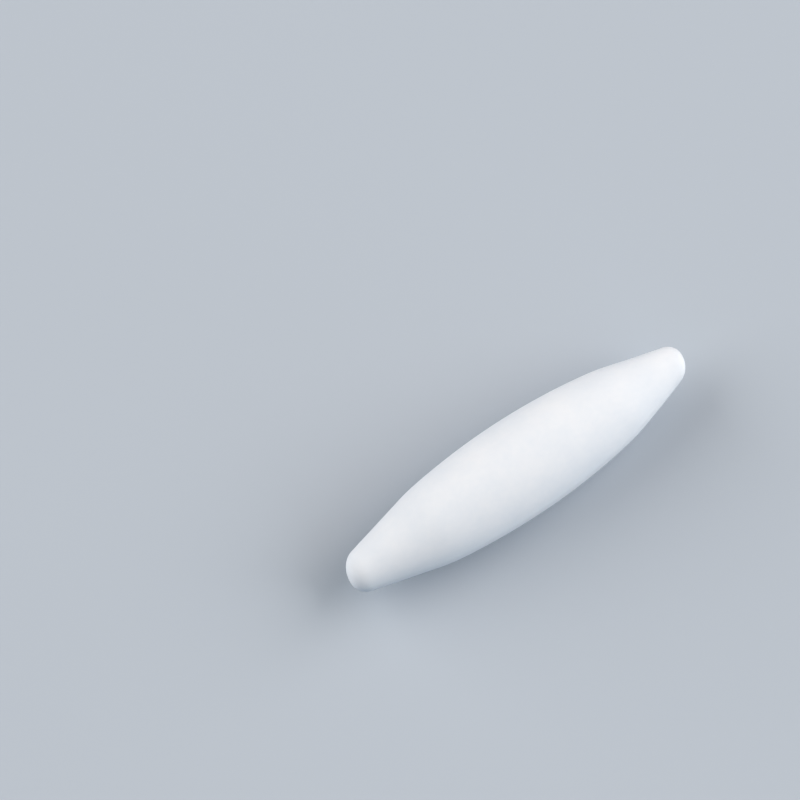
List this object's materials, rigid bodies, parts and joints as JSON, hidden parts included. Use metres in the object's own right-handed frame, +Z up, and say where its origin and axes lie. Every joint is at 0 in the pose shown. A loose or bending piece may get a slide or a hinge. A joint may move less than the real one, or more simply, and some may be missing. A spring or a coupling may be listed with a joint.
{
  "type": "magnetic stir bar",
  "caption": "Slender oval stir bar: a smooth white spindle with a curved belly, straight tapers and small rounded tips, sealed over a bar magnet that a stirrer spins to mix a liquid.",
  "frame": {"origin": "middle of the bar, on its axis", "axes": "+X along the bar's axis, +Z up as the bar lies on its belly"},
  "size_m": [0.08, 0.0194, 0.0195],
  "materials": {
    "ptfe": "moulded white PTFE, smooth and waxy with a soft satin sheen",
    "alnico": "cast magnet alloy, ground round on its side and sawn on its ends, dull grey"
  },
  "bodies": {
    "root": {"ptfe_jacket": "ptfe", "bar_magnet": "alnico"}
  },
  "joints": []
}
